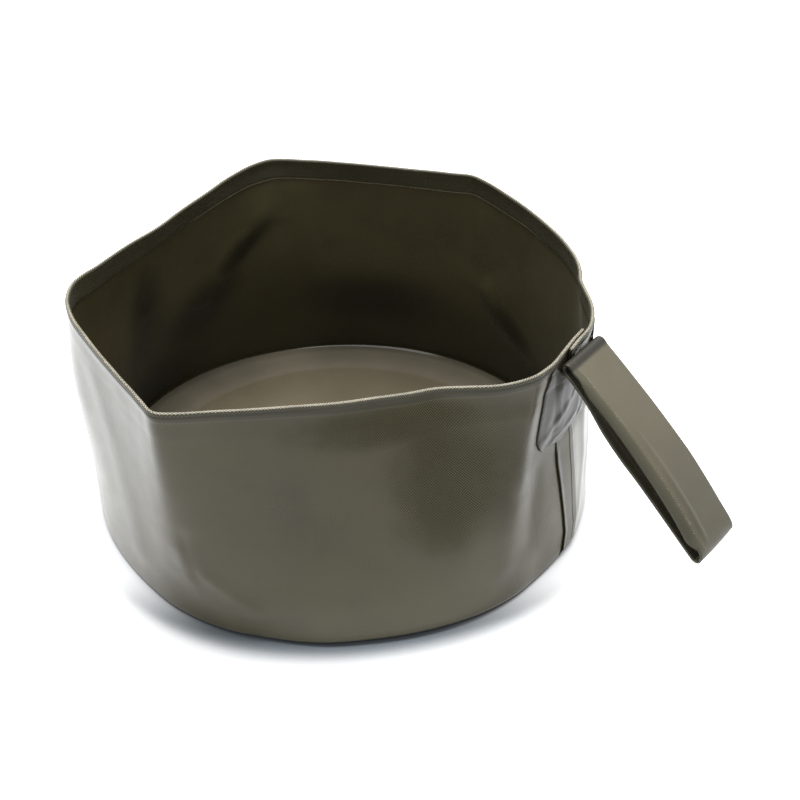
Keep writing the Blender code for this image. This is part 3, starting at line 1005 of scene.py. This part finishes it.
# The patch's left edge: degrees, height. Its right edge is straight.
patch_left = (
    (-6.0, 0.0752), (-7.0, 0.0790), (-6.9, 0.083), (-6.6, 0.088), (-6.2, 0.094), (-5.6, 0.100),
    (-5.0, 0.108), (-2.8, 0.117),
)
patch_right = 22.0
patch_bottom = 0.0750
patch_corner = 0.0045
patch_bead_gap = 0.0008
patch_columns = 90
patch_rows = 56
patch_stretch = 0.0055

# Wrinkles of the patch, as the wall's creases are given.
patch_wrinkles = (
    (((-3.4, 0.083), (1.6, 0.0902), (5.4, 0.0959), (7.0, 0.104)), 0.0042, 0.0006, 2.0),
    (((-3.2, 0.0755), (2.5, 0.0795), (8.2, 0.0845), (11.0, 0.093)), 0.0046, 0.0006, 2.0),
    (((-5.4, 0.080), (-2.4, 0.092), (-0.4, 0.104)), 0.0040, 0.0004, 2.0),
    (((4.5, 0.096), (7.5, 0.108)), 0.0014, -0.0004, 1.8),
    (((9.0, 0.079), (13.0, 0.090), (14.5, 0.102)), 0.0024, 0.0006, 1.8),
    (((17.5, 0.080), (16.0, 0.094), (15.8, 0.108)), 0.0016, -0.0005, 1.6),
)
wrinkle_fade = 0.006
wrinkle_reach = 4


def patch_place(share, row):
    """Over the lapped wall, and raised over the strap's ends, with rounded corners."""
    up = row / patch_rows
    rough = patch_bottom + 0.0405 * up
    left = radians(up_wall(patch_left, rough))
    right = radians(patch_right)
    turn = left + (right - left) * share
    from_side = min(share, 1 - share) * (right - left) * base_radius
    corner = 0.0
    if from_side < patch_corner:
        corner = patch_corner - sqrt(patch_corner**2 - (patch_corner - from_side) ** 2)
    ragged = 0.0004 * noise.noise(Vector((turn * 60.0, up * 12.0, 5.0)))
    past_lap = degrees(turn) - 2.0
    sag = 0.0016 * ease(past_lap / 6 + 0.2) - 0.0016 * exp(-((past_lap / 2.6) ** 2))
    across = base_radius * sin(turn)
    over = min(across - strap_near, strap_far - across)
    beside = 1 - ease((over + patch_stretch) / patch_stretch)
    top = rim_height(turn) - 2 * bead_radius - patch_bead_gap
    top = ends_top - weld + (top - ends_top + weld) * beside - corner * 0.6
    low = patch_bottom + corner + ragged + sag
    height = low + (top - low) * up
    over_ends = (1 - ease(-over / patch_stretch)) * ease((height - ends_bottom) / patch_stretch + 1)
    edge = min(from_side, height - low + 0.0001)
    pressed = ease(edge / 0.002)
    out = patch_rest(turn, height) + 0.15 * weld + cloth
    out += over_ends * (strap_thickness + weld)
    flush = ease((top - height) / 0.004)
    wrinkled = fold_depth(patch_wrinkles, wrinkle_fade, wrinkle_reach, turn, height)
    out += (wrinkled + 0.0002) * pressed * flush
    edges = ((turn - left) * base_radius, height - low)
    return wall_point(turn, height, out), (turn * base_radius, height), edges


def patch_wear(tree, place):
    return multiply(tree, make_noise(tree, place, 60.0, 3.0), 0.8)


def patch_colour(tree, place):
    """Black along the left edge and under the lap's end: partly squeezed-out coating, partly painted shade
    in the gap under the edge.
    """
    from_left, from_bottom = read_edges(tree)
    rough = map_range(tree, make_noise(tree, place, 500.0, 2.0), (0.40, 0.62), (0.0, 0.0009))
    # Weld flash and painted shade along the patch's edges.
    left = map_range(tree, calculate(tree, "ADD", from_left, rough), (0.0014, 0.0020), (1.0, 0.0))
    past_lap = map_range(tree, from_left, (0.0140, 0.0165))
    bottom = calculate(tree, "ADD", from_bottom, rough)
    bottom = multiply(tree, map_range(tree, bottom, (0.0007, 0.0013), (1.0, 0.0)), past_lap)
    return mix_colour(tree, calculate(tree, "MAXIMUM", left, bottom), patch_plain, patch_edge_flash_and_shade)


patch_shape = lay_cloth(patch_place, patch_columns, patch_rows)
patch_plain = (0.078, 0.075, 0.064)
patch_edge_flash_and_shade = (0.016, 0.014, 0.011)
patch_cloth = make_cloth_material(
    "patch_cloth", "UV", patch_colour, (0.20, 0.20, 0.19), patch_wear, 0.20, 0.26
)
handle_patch = finish_piece("strap_patch", patch_shape, patch_cloth, thickness=cloth * 0.9)
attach(handle_patch, "base")
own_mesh(handle_patch)
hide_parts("handle_patch")

# Strap handle.
# One flat strap of doubled cloth with folded edges, bent back on itself into a long
# loop. It droops from the weld, its free end is a blunt fold that gapes at one side,
# and its edges are rubbed pale.
hinge = Vector(next(j for j in frame["joints"] if j["name"] == "handle_swing")["pos_m"])
strap_low, strap_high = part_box("handle_strap")
strap_length = 0.1052
strap_width = strap_high.y - strap_low.y
root_radius = 0.0010
droop = radians(46.5)
strap_columns = 42
loop_rows = 132

# The upper run from root to end: metres along it, height at its near edge and at its far
# edge. The lower run from end to root: metres along it, height at its near edge.
strap_upper = (
    (0.0030, 0.0010, 0.0010), (0.0080, 0.0024, 0.0016), (0.0150, 0.0042, 0.0024),
    (0.0240, 0.0056, 0.0034), (0.0360, 0.0067, 0.0046), (0.0500, 0.0076, 0.0056),
    (0.0650, 0.0079, 0.0063), (0.0800, 0.0074, 0.0058), (0.0920, 0.0061, 0.0050),
    (0.1005, 0.0046, 0.0045), (0.1039, 0.0030, 0.0036),
)
strap_lower = (
    (0.1041, 0.0008), (0.0985, 0.0003), (0.0840, -0.0001), (0.0720, -0.0005), (0.0600, -0.0010),
    (0.0470, -0.0019), (0.0330, -0.0018), (0.0180, -0.0002), (0.0080, -0.0004),
)
gape_far = 0.45
gape_full = 0.050
upper_share = len(strap_upper) / (len(strap_upper) + len(strap_lower) + 3)
edge_roll = 0.0028
fold_line = 0.0072


def smooth_loop(points, share):
    """A point on the closed smooth line through the points, at a share of the way round."""
    count = len(points)
    place = share * count
    k = int(place)
    u = place - k
    before, start, finish, after = (points[(k + step) % count] for step in (-1, 0, 1, 2))
    return 0.5 * (
        2 * start
        + (finish - before) * u
        + (2 * before - 5 * start + 4 * finish - after) * u * u
        + (3 * start - before - 3 * finish + after) * u**3
    )


def loop_points(across):
    """The loop's line for a place across the strap: the fold gapes more on the near side."""
    points = [Vector((along, near + (far - near) * across)) for along, near, far in strap_upper]
    for along, near_low in strap_lower:
        place = min(max(along, strap_upper[0][0]), strap_upper[-3][0])
        (start, *low), (finish, *high) = next(
            pair for pair in zip(strap_upper, strap_upper[1:]) if place <= pair[1][0]
        )
        share = (place - start) / (finish - start)
        near, far = (a + (b - a) * share for a, b in zip(low, high))
        gape = 1 - (1 - gape_far) * across * ease(along / gape_full)
        points.append(Vector((along, near + (far - near) * across + (near_low - near) * gape)))
    points += [Vector((0, -root_radius)), Vector((-root_radius, 0)), Vector((0, root_radius))]
    return points


loop_lines = [loop_points(k / strap_columns) for k in range(strap_columns + 1)]


def across_strap(share, rolled):
    """(across, drop) of a column: the near edge rolls down where the strap is rolled."""
    radius = edge_roll * rolled
    arc = radius * pi / 2
    length = share * (strap_width - radius + arc)
    if length >= arc:
        return length - arc + radius, 0.0
    angle = pi / 2 - length / radius
    return radius * (1 - sin(angle)), radius * (1 - cos(angle))


def strap_place(share, row):
    """share runs across the strap, and row once round its loop from the hinge."""
    line = loop_lines[round(share * strap_columns)]
    spot = row / loop_rows % 1.0
    flat = smooth_loop(line, spot)
    run = (smooth_loop(line, (spot + 0.002) % 1.0) - flat).normalized()
    outward = Vector((-run.y, run.x))
    along = flat.x
    on_top = spot < upper_share
    rolled = ease((along - 0.005) / 0.012) * ease((0.1020 - along) / 0.008) if on_top else 0.0
    across, drop = across_strap(share, rolled)
    creased = ease((along - 0.030) / 0.030) * rolled
    to_fold = (across - fold_line) / fold_line
    crown = 0.0003 * (1 - (2 * share - 1) ** 2) * ease(along / 0.006)
    crown += creased * (0.0004 * exp(-((to_fold * 6) ** 2)) + 0.0007 * min(to_fold, 0.0))
    flat = flat + outward * (crown + strap_thickness / 2 - drop)
    level = flat.x * cos(droop) + flat.y * sin(droop)
    rise = flat.y * cos(droop) - flat.x * sin(droop)
    point = Vector((hinge.x + level, strap_low.y + across, hinge.z + rise))
    # The seam's last row is the first row's place again, but it ends the lower run.
    outward_run = row / loop_rows < upper_share
    return point, (share * strap_width, along if outward_run else 2 * strap_length - along)


def strap_parts(tree, place):
    """Metres from the near edge, metres along the loop, and metres from the far end."""
    from_near, along = split(tree, place)
    from_tip = calculate(tree, "ABSOLUTE", calculate(tree, "SUBTRACT", along, strap_length))
    return from_near, along, from_tip


def strap_wear(tree, place):
    """Wear on the rolled edge's crest, the far edge and the fold at the far end."""
    from_near, along, from_tip = strap_parts(tree, place)
    crest = line_at(tree, from_near, roll_crest, 0.0010, 0.60)
    far = map_range(tree, from_near, (strap_width - 0.0016, strap_width), (0.12, 0.7))
    tip = map_range(tree, from_tip, (0.0008, 0.0022), (0.75, 0.0))
    below = map_range(tree, along, (strap_length, strap_length + 0.002))
    low_edge = multiply(tree, below, map_range(tree, from_near, (0.003, 0.007), (0.55, 0.0)))
    wear = calculate(tree, "MAXIMUM", crest, far)
    return calculate(tree, "MAXIMUM", wear, calculate(tree, "MAXIMUM", tip, low_edge))


def strap_paint(tree, place):
    """Darker towards its end, greener on the rolled edge, and painted shade, near black, in the crevice at
    the root.
    """
    from_near, along, from_tip = strap_parts(tree, place)
    to_root = map_range(tree, from_tip, (0.0, strap_length))
    colour = mix_colour(tree, to_root, strap_end_colour, strap_colour)
    rolled = map_range(tree, from_near, (0.7 * roll_crest, roll_crest), (0.7, 0.0))
    colour = mix_colour(tree, rolled, colour, strap_roll_colour)
    # Painted shade where the strap's root tucks under the bead.
    root = map_range(tree, from_tip, (strap_length - 0.0036, strap_length - 0.0006), (0.0, 0.92))
    return mix_colour(tree, root, colour, strap_root_shade)


strap_shape = lay_cloth(strap_place, strap_columns, loop_rows)
bmesh.ops.remove_doubles(strap_shape, verts=strap_shape.verts, dist=0.00002)
roll_crest = 0.0042
strap_end_colour = (0.118, 0.104, 0.066)
strap_roll_colour = (0.080, 0.077, 0.044)
strap_root_shade = (0.016, 0.014, 0.008)
strap_cloth = make_cloth_material("strap_cloth", "UV", strap_paint, strap_worn, strap_wear, 0.22, 0.38)
strap_loop = finish_piece("strap_loop", strap_shape, strap_cloth, thickness=strap_thickness)
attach(strap_loop, "handle")
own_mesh(strap_loop)
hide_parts("handle_strap")
